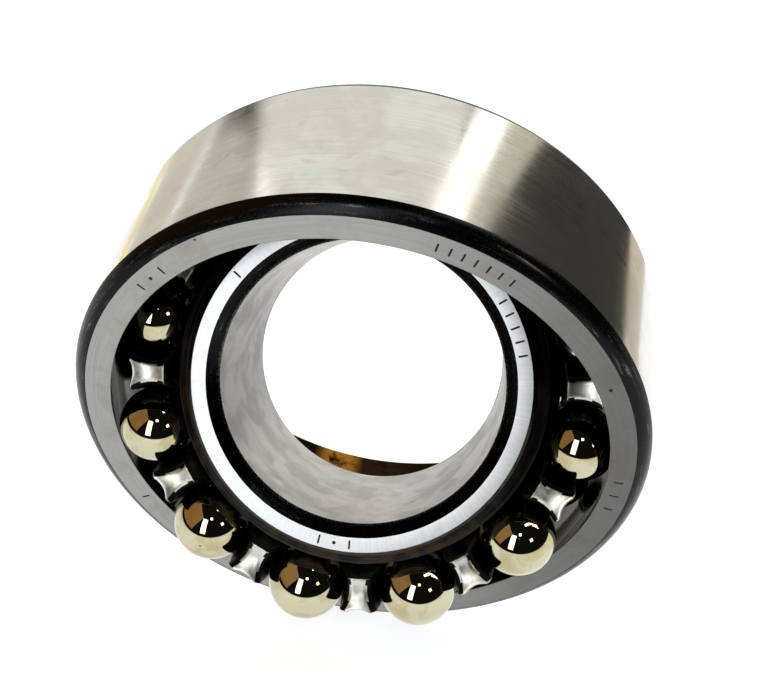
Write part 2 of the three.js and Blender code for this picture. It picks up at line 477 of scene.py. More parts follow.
def grinding_group():
    """Noise drawn out round the axis, and the distance from it.

    Around counts the features in a turn, and Across counts them per millimetre.
    """
    group = new_shader_group("grinding_lines", {
        "Vector": (VECTOR, None), "Around": (FLOAT, 2.0), "Across": (FLOAT, 3.0), "Rough": (FLOAT, 0.6),
    }, {"Lines": FLOAT, "Distance": FLOAT})
    given = group.nodes["in"].outputs
    split = add(group, "ShaderNodeSeparateXYZ", {"Vector": given["Vector"]})
    across, along, up = split.outputs["X"], split.outputs["Y"], split.outputs["Z"]
    square = maths(group, "MULTIPLY_ADD", up, up, maths(group, "MULTIPLY", across, across))
    distance = maths(group, "SQRT", square)
    around = maths(group, "DIVIDE", given["Around"], distance)
    place = add(group, "ShaderNodeCombineXYZ", {
        "X": maths(group, "MULTIPLY", across, around),
        "Y": maths(group, "MULTIPLY", along, given["Across"]),
        "Z": maths(group, "MULTIPLY", up, around),
    })
    noise = add(group, "ShaderNodeTexNoise", {
        "Vector": place.outputs["Vector"],
        "W": maths(group, "MULTIPLY", distance, given["Across"]),
        "Scale": 1.0, "Detail": 6.0, "Roughness": given["Rough"],
    }, noise_dimensions="4D")
    give_out(group, "Lines", noise.outputs["Fac"])
    give_out(group, "Distance", distance)
    return group


def grain_group():
    """Fine even noise: Scale counts its features per millimetre."""
    group = new_shader_group("grain", {
        "Vector": (VECTOR, None), "Scale": (FLOAT, 2.0), "Detail": (FLOAT, 5.0), "Rough": (FLOAT, 0.7),
    }, {"Grain": FLOAT})
    given = group.nodes["in"].outputs
    noise = add(group, "ShaderNodeTexNoise", {
        "Vector": given["Vector"], "Scale": given["Scale"], "Detail": given["Detail"],
        "Roughness": given["Rough"],
    })
    give_out(group, "Grain", noise.outputs["Fac"])
    return group


def smudge_group():
    """Soft patches: Size is in millimetres, and Cover says how much of the surface they take."""
    group = new_shader_group("smudges", {
        "Vector": (VECTOR, None), "Size": (FLOAT, 12.0), "Cover": (FLOAT, 0.5), "Seed": (FLOAT, 0.0),
    }, {"Mask": FLOAT})
    given = group.nodes["in"].outputs
    noise = add(group, "ShaderNodeTexNoise", {
        "Vector": given["Vector"], "W": given["Seed"], "Scale": maths(group, "DIVIDE", 1.0, given["Size"]),
        "Detail": 5.0, "Roughness": 0.62, "Distortion": 0.6,
    }, noise_dimensions="4D")
    threshold = maths(group, "MULTIPLY_ADD", given["Cover"], -0.36, 0.68)
    raised = maths(group, "SUBTRACT", noise.outputs["Fac"], threshold)
    give_out(group, "Mask", span(group, raised, -0.06, 0.1))
    return group


def speck_group():
    """Small round specks, in some of the cells of a lattice of that Spacing, in millimetres."""
    group = new_shader_group("specks", {
        "Vector": (VECTOR, None), "Spacing": (FLOAT, 4.0), "Radius": (FLOAT, 0.15), "Share": (FLOAT, 0.4),
    }, {"Mask": FLOAT})
    given = group.nodes["in"].outputs
    wobble = add(group, "ShaderNodeTexNoise", {"Vector": given["Vector"], "Scale": 1.6, "Detail": 2.0})
    moved = add(group, "ShaderNodeVectorMath", {
        0: wobble.outputs["Color"], 1: (0.5, 0.5, 0.5), 2: given["Vector"],
    }, operation="MULTIPLY_ADD")
    cells = add(group, "ShaderNodeTexVoronoi", {
        "Vector": moved.outputs["Vector"], "Scale": maths(group, "DIVIDE", 1.0, given["Spacing"]),
    }, feature="F1")
    tone = add(group, "ShaderNodeSeparateColor", {"Color": cells.outputs["Color"]})
    chosen = maths(group, "LESS_THAN", tone.outputs["Red"], given["Share"])
    reach = maths(group, "DIVIDE", given["Radius"], given["Spacing"])
    size = maths(group, "MULTIPLY", reach, maths(group, "ADD", tone.outputs["Green"], 0.4))
    inside = maths(group, "LESS_THAN", cells.outputs["Distance"], size)
    give_out(group, "Mask", maths(group, "MULTIPLY", inside, chosen))
    return group


def edge_group():
    """Rubbed edges: bright where the surface turns outwards sharply, broken up by noise."""
    group = new_shader_group("worn_edges", {
        "Vector": (VECTOR, None), "Start": (FLOAT, 0.52), "Full": (FLOAT, 0.6), "Size": (FLOAT, 3.0),
    }, {"Mask": FLOAT})
    given = group.nodes["in"].outputs
    shape = add(group, "ShaderNodeNewGeometry")
    outward = span(group, shape.outputs["Pointiness"], given["Start"], given["Full"])
    noise = add(group, "ShaderNodeTexNoise", {
        "Vector": given["Vector"], "Scale": maths(group, "DIVIDE", 1.0, given["Size"]), "Detail": 4.0,
    })
    broken = span(group, noise.outputs["Fac"], 0.35, 0.6)
    give_out(group, "Mask", maths(group, "MULTIPLY", outward, broken))
    return group


grinding_lines, steel_grain, smudges = grinding_group(), grain_group(), smudge_group()
specks, worn_edges = speck_group(), edge_group()
print("shader groups:", [
    group.name for group in (grinding_lines, steel_grain, smudges, specks, worn_edges)
])

# %% [markdown]
# ## The finishes
#
# All of the bearing is steel, but hardly two surfaces of it look alike, because each is made in another
# way. The outside and the side faces are ground, the corners and chamfers are left dark from hardening,
# the raceways and the balls are polished to a mirror, and the cage is pressed from sheet. A finish starts
# with a Principled shader. Its own sockets hold what is the same all over, and the groups drive what
# changes.
#
# Every finish reads Object coordinates. On the inner ring and the cage a Mapping node turns them first,
# by the angle of the swivel, so that the lines still run round the tilted axis.

# %% Start a finish
PRINCIPLED = "Principled BSDF"


def start_finish(name, turned_back=False):
    """A metal, and its coordinates in millimetres with Y along the axis of its ring."""
    finish = bpy.data.materials.new(name)
    finish.use_nodes = True
    tree = finish.node_tree
    shader = tree.nodes[PRINCIPLED]
    shader.inputs["Metallic"].default_value = 1.0
    coordinates = add(tree, "ShaderNodeTexCoord")
    turn = -swivel_angle if turned_back else 0.0
    place = add(tree, "ShaderNodeMapping", {
        "Vector": coordinates.outputs["Object"], "Rotation": (turn, 0, 0), "Scale": (STEEL_SCALE,) * 3,
    })
    return finish, tree, shader, place.outputs["Vector"]


def grouped(tree, group, place, **values):
    """Places a shared group in a finish, with this finish's own values."""
    node = add(tree, "ShaderNodeGroup", node_tree=group)
    tree.links.new(place, node.inputs["Vector"])
    for label, value in values.items():
        node.inputs[label].default_value = value
    return node.outputs[0]


def set_colour(tree, shader, colour):
    tree.links.new(colour, shader.inputs["Base Color"])


def set_roughness(tree, shader, value):
    tree.links.new(value, shader.inputs["Roughness"])


def set_bump(tree, shader, height, strength, distance):
    """Bump of that distance, in millimetres."""
    bump = add(tree, "ShaderNodeBump", {"Height": height, "Strength": strength, "Distance": distance * MM})
    tree.links.new(bump.outputs["Normal"], shader.inputs["Normal"])


# %% The ground outside, the ground faces and the dark corners
def ground_outside():
    """The outside diameter: finely ground all the way round, with smudges, faint stains and scratches."""
    finish, tree, shader, place = start_finish("ground_outside")
    lines = grouped(tree, grinding_lines, place, Around=3.0, Across=2.6)
    patches = grouped(tree, smudges, place, Size=17.0, Cover=0.62)
    stains = grouped(tree, smudges, place, Size=7.0, Cover=0.12, Seed=4.0)
    specked = grouped(tree, specks, place, Spacing=13.0, Radius=0.5, Share=0.3)
    scratched = span(tree, grouped(tree, grinding_lines, place, Around=9.0, Across=1.1), 0.68, 0.73)
    clean = blend(tree, span(tree, lines, 0.3, 0.7), (0.58, 0.58, 0.56, 1), (0.68, 0.68, 0.66, 1))
    handled = blend(tree, maths(tree, "MULTIPLY", patches, 0.45), clean, (0.48, 0.44, 0.41, 1))
    stained = blend(tree, maths(tree, "MULTIPLY", stains, 0.5), handled, (0.4, 0.33, 0.24, 1))
    marked = maths(tree, "MAXIMUM", specked, maths(tree, "MULTIPLY", scratched, 0.5))
    set_colour(tree, shader, blend(tree, marked, stained, (0.1, 0.09, 0.07, 1)))
    rough = maths(tree, "MULTIPLY_ADD", patches, 0.05, span(tree, lines, 0.25, 0.75, 0.085, 0.15))
    set_roughness(tree, shader, rough)
    set_bump(tree, shader, lines, 0.3, 0.006)
    return finish


def ground_face():
    """The outer ring's side faces: satin with concentric lines, darkened as painted shade, most towards +X.
    """
    finish, tree, shader, place = start_finish("ground_face")
    lines = grouped(tree, grinding_lines, place, Around=2.0, Across=2.2)
    patches = grouped(tree, smudges, place, Size=9.0, Cover=0.35, Seed=2.0)
    specked = grouped(tree, specks, place, Spacing=7.0, Radius=0.28, Share=0.25)
    # Painted shade: the base is kept darker than bare steel
    clean = blend(tree, span(tree, lines, 0.3, 0.7), (0.29, 0.295, 0.28, 1), (0.35, 0.355, 0.335, 1))
    handled = blend(tree, maths(tree, "MULTIPLY", patches, 0.35), clean, (0.2, 0.18, 0.14, 1))
    # Painted shade: the face darkens further towards +X
    side = add(tree, "ShaderNodeSeparateXYZ", {"Vector": place})
    smudged_and_shaded = blend(tree, span(tree, side.outputs["X"], -5, 60, 0.0, 0.75), handled, (0.07, 0.068, 0.062, 1))
    set_colour(tree, shader, blend(tree, specked, smudged_and_shaded, (0.05, 0.045, 0.04, 1)))
    set_roughness(tree, shader, span(tree, lines, 0.25, 0.75, 0.24, 0.34))
    set_bump(tree, shader, lines, 0.35, 0.01)
    return finish


WORN_WIDTH = 1.6


def hardened_corner(name, rub, turned_back=False, worn_at=0.0):
    """Corners and chamfers: near black from hardening, grainy, with rubbed streaks as bright as rub says.

    The edge at the distance worn_at from the axis is worn through to a bright sprinkle.
    """
    finish, tree, shader, place = start_finish(name, turned_back)
    grain = grouped(tree, steel_grain, place, Scale=2.4, Detail=6.0)
    lines = grouped(tree, grinding_lines, place, Around=7.0, Across=1.4)
    rubbed = maths(tree, "MULTIPLY", span(tree, lines, 0.54, 0.74), span(tree, grain, 0.35, 0.62))
    black = blend(tree, grain, (0.002, 0.002, 0.0025, 1), (0.024, 0.024, 0.025, 1))
    rubbed_black = blend(tree, maths(tree, "MULTIPLY", rubbed, rub), black, (0.3, 0.3, 0.29, 1))
    sprinkle = grouped(tree, steel_grain, place, Scale=5.0, Detail=3.0, Rough=0.8)
    distance = lines.node.outputs["Distance"]
    near_edge = span(tree, distance, worn_at + WORN_WIDTH, worn_at, 0.0, 0.3)
    threshold = maths(tree, "SUBTRACT", 0.76, near_edge)
    worn = span(tree, maths(tree, "SUBTRACT", sprinkle, threshold), 0.0, 0.08)
    set_colour(tree, shader, blend(tree, worn, rubbed_black, (0.55, 0.54, 0.5, 1)))
    set_roughness(tree, shader, span(tree, grain, 0.3, 0.7, 0.18, 0.32))
    set_bump(tree, shader, grain, 0.5, 0.03)
    return finish


# %% The polished raceways and the balls
# Where the oil has dried: along the axis, in height, and from its right and its left end inwards
VARNISH_ALONG, VARNISH_HEIGHT = (9, 15), (-45, -51)
VARNISH_RIGHT, VARNISH_LEFT = (-4, -8), (-18, -14)


def polished_raceway(name, turned_back=False, varnish=0.0):
    """A raceway: an oiled mirror, near black as painted shade, and amber varnish where oil dried behind the
    balls.
    """
    finish, tree, shader, place = start_finish(name, turned_back)
    bands = grouped(tree, grinding_lines, place, Around=1.0, Across=0.5)
    oil = grouped(tree, smudges, place, Size=6.0, Cover=0.5, Seed=7.0)
    # Painted shade: the steel's base is near black, for the shade and dark reflections inside the bearing
    steel = blend(tree, span(tree, bands, 0.35, 0.65), (0.01, 0.01, 0.009, 1), (0.026, 0.025, 0.022, 1))
    smudged_and_shaded = blend(tree, maths(tree, "MULTIPLY", oil, 0.5), steel, (0.03, 0.02, 0.008, 1))
    dried = grouped(tree, smudges, place, Size=5.0, Cover=0.8, Seed=14.0)
    split = add(tree, "ShaderNodeSeparateXYZ", {"Vector": place})
    pooled = maths(tree, "MULTIPLY", dried, span(tree, split.outputs["Y"], *VARNISH_ALONG, 0.0, varnish))
    pooled = maths(tree, "MULTIPLY", pooled, span(tree, split.outputs["Z"], *VARNISH_HEIGHT))
    pooled = maths(tree, "MULTIPLY", pooled, span(tree, split.outputs["X"], *VARNISH_RIGHT, 0.05, 1.0))
    pooled = maths(tree, "MULTIPLY", pooled, span(tree, split.outputs["X"], *VARNISH_LEFT, 0.02, 1.0))
    set_colour(tree, shader, blend(tree, pooled, smudged_and_shaded, (1.0, 0.42, 0.03, 1)))
    tree.links.new(maths(tree, "MULTIPLY_ADD", pooled, -0.75, 1.0), shader.inputs["Metallic"])
    set_roughness(tree, shader, maths(tree, "MULTIPLY_ADD", oil, 0.05, 0.07))
    return finish


def ball_mirror():
    """A ball: a mirror with a straw tint from its oil, cloudy patches and small brown stains."""
    finish, tree, shader, place = start_finish("ball_mirror")
    oil = grouped(tree, smudges, place, Size=7.0, Cover=0.55, Seed=1.0)
    dried = grouped(tree, smudges, place, Size=2.2, Cover=0.1, Seed=3.0)
    fine = grouped(tree, specks, place, Spacing=2.3, Radius=0.22, Share=0.24)
    large = grouped(tree, specks, place, Spacing=8.0, Radius=0.55, Share=0.3)
    straw = blend(tree, oil, (0.54, 0.52, 0.37, 1), (0.46, 0.41, 0.23, 1))
    dulled = blend(tree, maths(tree, "MULTIPLY", dried, 0.6), straw, (0.42, 0.32, 0.13, 1))
    stained = maths(tree, "MAXIMUM", fine, large)
    spotted = blend(tree, maths(tree, "MULTIPLY", stained, 0.85), dulled, (0.1, 0.06, 0.03, 1))
    set_colour(tree, shader, spotted)
    clear = maths(tree, "MULTIPLY_ADD", oil, 0.02, 0.018)
    set_roughness(tree, shader, maths(tree, "MULTIPLY_ADD", stained, 0.3, clear))
    return finish


# %% The inner ring's face, shoulders and bore
def bright_face():
    """The inner ring's side faces: bright, with a fine hatch that runs outwards and some scratches."""
    finish, tree, shader, place = start_finish("bright_face", turned_back=True)
    hatch = grouped(tree, grinding_lines, place, Around=190.0, Across=0.2)
    lines = grouped(tree, grinding_lines, place, Around=3.0, Across=2.4)
    scratched = span(tree, grouped(tree, grinding_lines, place, Around=40.0, Across=0.9), 0.7, 0.74)
    patches = grouped(tree, smudges, place, Size=6.0, Cover=0.3, Seed=5.0)
    clean = blend(tree, span(tree, hatch, 0.3, 0.7), (0.7, 0.73, 0.75, 1), (0.82, 0.84, 0.85, 1))
    handled = blend(tree, maths(tree, "MULTIPLY", patches, 0.4), clean, (0.6, 0.62, 0.6, 1))
    used = blend(tree, maths(tree, "MULTIPLY", scratched, 0.6), handled, (0.2, 0.2, 0.2, 1))
    set_colour(tree, shader, used)
    texture = maths(tree, "ADD", hatch, lines)
    set_roughness(tree, shader, span(tree, texture, 0.6, 1.4, 0.38, 0.48))
    set_bump(tree, shader, texture, 0.5, 0.012)
    return finish


def turned_shoulder():
    """The shoulders beside the grooves: turned and oily, near black as painted shade."""
    finish, tree, shader, place = start_finish("turned_shoulder", turned_back=True)
    lines = grouped(tree, grinding_lines, place, Around=1.0, Across=1.8)
    oil = grouped(tree, smudges, place, Size=5.0, Cover=0.5, Seed=6.0)
    # Painted shade: the turned steel's base is near black, for the shade between the balls and the cage
    steel = blend(tree, span(tree, lines, 0.3, 0.7), (0.004, 0.004, 0.005, 1), (0.03, 0.03, 0.032, 1))
    smudged_and_shaded = blend(tree, maths(tree, "MULTIPLY", oil, 0.5), steel, (0.05, 0.035, 0.015, 1))
    set_colour(tree, shader, smudged_and_shaded)
    set_roughness(tree, shader, span(tree, lines, 0.25, 0.75, 0.22, 0.36))
    set_bump(tree, shader, lines, 0.4, 0.02)
    return finish


def ground_bore():
    """The tapered bore: ground satin, mottled by its sleeve, marked along the axis, with painted shade at
    both sides.
    """
    finish, tree, shader, place = start_finish("ground_bore", turned_back=True)
    lines = grouped(tree, grinding_lines, place, Around=4.0, Across=2.0)
    drawn = grouped(tree, grinding_lines, place, Around=16.0, Across=0.08)
    patches = grouped(tree, smudges, place, Size=8.0, Cover=0.55, Seed=8.0)
    spotted = grouped(tree, specks, place, Spacing=6.0, Radius=0.3, Share=0.3)
    clean = blend(tree, span(tree, lines, 0.3, 0.7), (0.36, 0.35, 0.32, 1), (0.43, 0.42, 0.385, 1))
    rubbed = blend(tree, maths(tree, "MULTIPLY", patches, 0.14), clean, (0.3, 0.29, 0.26, 1))
    pulled = blend(tree, span(tree, drawn, 0.52, 0.75, 0.0, 0.35), rubbed, (0.3, 0.28, 0.24, 1))
    # Painted shade: the base darkens towards the bore's left and right walls
    side = add(tree, "ShaderNodeSeparateXYZ", {"Vector": place}).outputs["X"]
    left, right = span(tree, side, -31, -19, 0.8, 0.0), span(tree, side, 4, 27, 0.0, 0.75)
    sides_shaded = blend(tree, maths(tree, "ADD", left, right), pulled, (0.11, 0.105, 0.09, 1))
    used = blend(tree, maths(tree, "MULTIPLY", spotted, 0.7), sides_shaded, (0.1, 0.09, 0.07, 1))
    set_colour(tree, shader, used)
    set_roughness(tree, shader, maths(tree, "MULTIPLY_ADD", patches, 0.1, 0.3))
    set_bump(tree, shader, maths(tree, "ADD", lines, drawn), 0.4, 0.012)
    return finish


# %% The pressed cage, its cut edges and the etched ticks
def cage_sheet():
    """Pressed sheet: bright where it was drawn over the tool, mottled, with oil in its hollows."""
    finish, tree, shader, place = start_finish("cage_sheet", turned_back=True)
    mottle = grouped(tree, steel_grain, place, Scale=0.9, Rough=0.65)
    oil = grouped(tree, smudges, place, Size=3.5, Cover=0.4, Seed=9.0)
    drawn = grouped(tree, grinding_lines, place, Around=60.0, Across=0.5)
    bright = blend(tree, mottle, (0.55, 0.57, 0.51, 1), (0.76, 0.78, 0.72, 1))
    greasy = blend(tree, maths(tree, "MULTIPLY", oil, 0.45), bright, (0.42, 0.36, 0.2, 1))
    worn = grouped(tree, worn_edges, place, Size=2.0)
    set_colour(tree, shader, blend(tree, worn, greasy, (0.86, 0.86, 0.83, 1)))
    set_roughness(tree, shader, span(tree, mottle, 0.3, 0.7, 0.3, 0.42))
    set_bump(tree, shader, maths(tree, "ADD", mottle, drawn), 0.5, 0.02)
    return finish


def cage_cut_edge():
    """The sheared edge of the sheet: torn grain, browned by old oil."""
    finish, tree, shader, place = start_finish("cage_cut_edge", turned_back=True)
    grain = grouped(tree, steel_grain, place)
    set_colour(tree, shader, blend(tree, grain, (0.3, 0.24, 0.12, 1), (0.6, 0.55, 0.4, 1)))
    set_roughness(tree, shader, span(tree, grain, 0.3, 0.7, 0.28, 0.45))
    set_bump(tree, shader, grain, 0.5, 0.03)
    return finish


def cage_pocket_shade():
    """The pockets and flanks: black and grainy as painted shade, with a few faint brown streaks."""
    finish, tree, shader, place = start_finish("cage_pocket_shade", turned_back=True)
    grain = grouped(tree, steel_grain, place, Scale=1.8, Detail=6.0)
    streaks = span(tree, grouped(tree, grinding_lines, place, Around=70.0, Across=0.3), 0.58, 0.72)
    # Painted shade: the pockets and flanks are near black
    black = blend(tree, grain, (0.002, 0.002, 0.002, 1), (0.014, 0.013, 0.011, 1))
    streaked = blend(tree, maths(tree, "MULTIPLY", streaks, 0.3), black, (0.06, 0.05, 0.03, 1))
    set_colour(tree, shader, streaked)
    set_roughness(tree, shader, span(tree, grain, 0.3, 0.7, 0.35, 0.5))
    set_bump(tree, shader, grain, 0.4, 0.03)
    return finish


def etched_tick(name, turned_back=False):
    """The bottom of an etched tick: black and dull, a little uneven."""
    finish, tree, shader, place = start_finish(name, turned_back)
    grain = grouped(tree, steel_grain, place, Scale=3.0, Detail=4.0, Rough=0.5)
    set_colour(tree, shader, blend(tree, grain, (0.012, 0.012, 0.014, 1), (0.06, 0.06, 0.06, 1)))
    set_roughness(tree, shader, span(tree, grain, 0.3, 0.7, 0.5, 0.7))
    return finish


outer_finishes = {
    "outside": ground_outside(),
    "face": ground_face(),
    "corner": hardened_corner("hardened_corner", 0.8),
    "raceway": polished_raceway("polished_raceway", varnish=1.0),
}
inner_finishes = {
    "face": bright_face(),
    "shoulder": turned_shoulder(),
    "groove": polished_raceway("polished_groove", turned_back=True),
    "chamfer": hardened_corner("hardened_chamfer", 0.35, turned_back=True, worn_at=31.6),
    "bore": ground_bore(),
}
cage_finish, cut_edge_finish, pocket_shade_finish = cage_sheet(), cage_cut_edge(), cage_pocket_shade()
ball_finish = ball_mirror()
outer_tick_finish, inner_tick_finish = etched_tick("etched_outer"), etched_tick("etched_inner", True)
print("finishes:", len(bpy.data.materials))

# %% [markdown]
# ## The outer ring
#
# The outer ring is ground flat on both sides and round outside, its corners are rounded to let it slip
# into a housing, and its inside is part of one hollow sphere, so that the balls of both rows can run on
# it at any angle of the swivel. Its profile is read from the frame: the widths of the faces and the
# depths of the corners are those of the mechanical model, and only the fillets are new.

# %% Read the profile of a ring, and turn the outer ring
SAME_PLACE, FACET_DEPTH = 0.01, 0.05


def ring_profile(node, turn):
    """A ring of the frame: each place along its axis, with the distances from the axis found there."""
    found = {}
    for vertex in frame["nodes"][node].data.vertices:
        point = turn @ vertex.co / MM
        found.setdefault(round(point.y, 1), set()).add(round(math.hypot(point.x, point.z), 2))
    return {place: sorted(distances) for place, distances in sorted(found.items())}


outer_profile = ring_profile("outer_ring", Matrix.Identity(4))
mouth_radius, face_edge = outer_profile[-half_width][0], outer_profile[-half_width][-1]
corner_places = [
    place for place, distances in outer_profile.items() if distances[-1] > outside_radius - FACET_DEPTH
]
front_corner, back_corner = corner_places[0], corner_places[-1]
sphere_radius = math.hypot(mouth_radius, half_width)

CORNER_ROUND = 5.0
RACEWAY_STEPS = 48
FACE_FILLET, CORNER_FILLET, MOUTH_FILLET = 0.25, 0.35, 0.3


def outer_ring_loop():
    front = bulged((face_edge, -half_width), (outside_radius, front_corner), CORNER_ROUND)
    back = bulged((outside_radius, back_corner), (face_edge, half_width), CORNER_ROUND)
    mouth_angle = math.asin(half_width / sphere_radius)
    raceway = arc((0, 0), sphere_radius, mouth_angle, -mouth_angle, RACEWAY_STEPS)
    loop = front + back + raceway
    first_mouth = len(front) + len(back)
    return filleted(loop, {
        0: FACE_FILLET,
        len(front) - 1: CORNER_FILLET,
        len(front): CORNER_FILLET,
        first_mouth - 1: FACE_FILLET,
        first_mouth: MOUTH_FILLET,
        len(loop) - 1: MOUTH_FILLET,
    })


def outer_finish_at(distance, place):
    if distance > outside_radius - SAME_PLACE:
        return "outside"
    if distance > face_edge + SAME_PLACE:
        return "corner"
    if abs(place) > half_width - MOUTH_FILLET:
        return "face"
    return "raceway"


outer_ring = turned("outer_ring_steel", outer_ring_loop(), outer_finishes["outside"])
give_finishes(outer_ring, outer_finishes, outer_finish_at)
finish_piece(outer_ring, "outer_ring", ["outer_ring"])
print(outer_ring.name, triangle_count(outer_ring), "triangles")

# %% [markdown]
# ## The inner ring
#
# The inner ring has a groove for each row, a rib between the grooves, a stepped shoulder at each end and
# a tapered bore with a wide chamfer at each end, so that it can be drawn up on a tapered sleeve. It is
# turned upright like the outer ring and then tilted with its mesh, so that its object stays unturned at
# the origin.

# %% Turn the inner ring
GROOVE_STEPS = 28
TURNED_CORNERS = 4
EDGE_FILLET, STEP_FILLET, RIB_FILLET = 0.12, 0.3, 0.35

inner_profile = ring_profile("inner_ring", swivel.inverted())
chamfer_radius, face_radius = inner_profile[-half_width][0], inner_profile[-half_width][-1]
front_half = [
    Vector((distances[-1], place))
    for place, distances in inner_profile.items() if place < 0 and distances[-1] > chamfer_radius
]
bore_half = [
    Vector((distances[0], place))
    for place, distances in inner_profile.items() if distances[0] <= chamfer_radius
]
land_edge, groove_edge, rib_edge = front_half[TURNED_CORNERS - 1], front_half[TURNED_CORNERS], front_half[-1]


def inner_ring_side():
    """The front half of the outside, from the side face to the rib in the middle."""
    groove = arc_between((row_radius, -row_offset), groove_edge, rib_edge, GROOVE_STEPS)
    return front_half[:TURNED_CORNERS] + groove


def inner_ring_loop():
    front = inner_ring_side()
    back = [Vector((point.x, -point.y)) for point in reversed(front)]
    loop = front + back + list(reversed(bore_half))
    last = len(front) + len(back) - 1
    fillets = {0: EDGE_FILLET, 1: EDGE_FILLET, 2: STEP_FILLET, 3: STEP_FILLET, len(front) - 1: RIB_FILLET}
    fillets.update({last - corner: fillet for corner, fillet in fillets.items()})
    fillets.update({corner: EDGE_FILLET for corner in range(last + 1, len(loop))})
    return filleted(loop, fillets)


def inner_finish_at(distance, place):
    if distance < chamfer_radius and abs(place) < half_width - EDGE_FILLET:
        return "chamfer" if abs(place) > abs(bore_half[1].y) else "bore"
    if abs(place) > half_width - SAME_PLACE:
        return "face"
    if distance > land_edge.x - SAME_PLACE and abs(place) > abs(groove_edge.y):
        return "shoulder"
    in_groove = abs(place) < abs(groove_edge.y) and distance < rib_edge.x - SAME_PLACE
    return "groove" if in_groove else "shoulder"


inner_ring = turned("inner_ring_steel", inner_ring_loop(), inner_finishes["bore"])
give_finishes(inner_ring, inner_finishes, inner_finish_at)
inner_ring.data.transform(swivel)
finish_piece(inner_ring, "inner_ring", ["inner_ring"])
print(inner_ring.name, triangle_count(inner_ring), "triangles")

# %% [markdown]
# ## The balls
#
# Each ball turns on its own, so each is its own piece on its own body. Modelled balls are often UV
# spheres, but their poles show in a mirror, so these come from the icosphere tree. A ball's stains come
# from its place in the noise, so no two balls look alike.

# %% Make the balls
BALL_SUBDIVISIONS = 5


def make_ball(node):
    centre = node_centre(node)
    point = bpy.data.meshes.new(node + "_point")
    point.from_pydata([centre], [], [])
    ball = plain_mesh(node + "_polished", point, balls_on_points, {
        "Radius": ball_radius * MM, "Subdivisions": BALL_SUBDIVISIONS, "Finish": ball_finish,
    })
    finish_piece(ball, node, [node])
    return ball


balls = [make_ball(node) for row in ("front", "back") for node in ball_nodes(row)]
print(len(balls), "balls of", triangle_count(balls[0]), "triangles")

# %% [markdown]
# ## The cage
#
# A cage keeps the balls apart. This one is two crowns, and each is one ribbon of sheet steel pressed into
# corrugations. The ribbon runs behind a ball, up both of its flanks, bends over in front and crosses to
# the next ball. Seen from the front, what shows of it is one bright finger between every two balls,
# narrow towards the inner ring, wide and pointed outside, and dished along its length. Its flanks and its
# pockets are painted near black as shade, so the faces that look at a ball get a finish of their own.
#
# A single corrugation is made by formula as a sheet without thickness, in rows along the ribbon. The
# repeating tree joins twelve of them, and then Solidify gives the thickness and Bevel rubs the sheared
# edges round.

# %% The middle surface of one corrugation
SHEET = 1.2
POCKET_CLEARANCE = 0.35
CAGE_INSIDE, CAGE_OUTSIDE = 45.0, 53.0
WALL_TOP, FINGER_DISH = 5.0, 0.7
WALL_SPREAD, WALL_LEAN = 0.75, 1.2
BEND_RADIUS = 1.2
EDGE_HOLLOW, EAR_REACH = 0.55, 0.25
POCKET_STEPS, WALL_STEPS, BEND_STEPS, FACE_STEPS = 12, 5, 6, 5
RADIAL_STEPS = 10
pitch_angle = 2 * math.pi / BALLS_PER_ROW
pocket_radius = ball_radius + POCKET_CLEARANCE + SHEET / 2


def eased(share):
    return share * share * (3 - 2 * share)


def angle_off_pocket(distance, centre, radius):
    """The angle, seen from the axis, at which a circle round the pocket reaches that distance."""
    cosine = (distance ** 2 + centre ** 2 - radius ** 2) / (2 * distance * centre)
    return math.acos(max(-1.0, min(1.0, cosine)))


def wall_top(distance):
    """Height of the finger above the ball centres, dished along the radius."""
    middle, reach = (CAGE_INSIDE + CAGE_OUTSIDE) / 2, (CAGE_OUTSIDE - CAGE_INSIDE) / 2
    return WALL_TOP + FINGER_DISH * ((distance - middle) / reach) ** 2


def half_ribbon(share):
    """Half a corrugation at one share of the way out: points of (distance, angle, height)."""
    distance = CAGE_INSIDE + (CAGE_OUTSIDE - CAGE_INSIDE) * share
    off_centre = distance - row_radius
    depth = math.sqrt(pocket_radius ** 2 - off_centre ** 2)
    points = []
    for step in range(POCKET_STEPS + 1):
        turn = math.pi / 2 * step / POCKET_STEPS
        away = math.hypot(off_centre, depth * math.sin(turn))
        points.append((distance, angle_off_pocket(distance, row_radius, away), -depth * math.cos(turn)))
    top = wall_top(distance)
    for step in range(1, WALL_STEPS + 1):
        rise = step / WALL_STEPS
        centre = row_radius - WALL_LEAN * eased(rise)
        wall = angle_off_pocket(distance, centre, pocket_radius + WALL_SPREAD * eased(rise))
        points.append((distance + EAR_REACH * share * eased(rise), wall, top * rise))
    for step in range(1, BEND_STEPS + 1):
        turn = math.pi / 2 * step / BEND_STEPS
        angle = wall + BEND_RADIUS * (1 - math.cos(turn)) / distance
        points.append((distance + EAR_REACH * share, angle, top + BEND_RADIUS * math.sin(turn)))
    face_start = points[-1][1]
    for step in range(1, FACE_STEPS + 1):
        way = step / FACE_STEPS
        angle = face_start + (pitch_angle / 2 - face_start) * way
        hollow = (EAR_REACH + EDGE_HOLLOW) * share * (1 - (1 - way) ** 2)
        points.append((distance + EAR_REACH * share - hollow, angle, top + BEND_RADIUS))
    return points


def corrugation(side):
    """One corrugation round angle zero. side is -1 for the front row and 1 for the back row."""
    rows = []
    for strip in range(RADIAL_STEPS + 1):
        half = half_ribbon(strip / RADIAL_STEPS)
        mirrored = [(distance, -angle, height) for distance, angle, height in reversed(half[1:])]
        rows.append(mirrored + half)
    corners = [
        Vector((distance * math.cos(angle), side * (row_offset + height), distance * math.sin(angle))) * MM
        for row in rows for distance, angle, height in row
    ]
    length = len(rows[0])
    faces = [
        (start, start + 1, start + length + 1, start + length)
        for strip in range(RADIAL_STEPS) for start in range(strip * length, (strip + 1) * length - 1)
    ]
    sheet = bpy.data.meshes.new("corrugation")
    sheet.from_pydata(corners, [], faces)
    return sheet


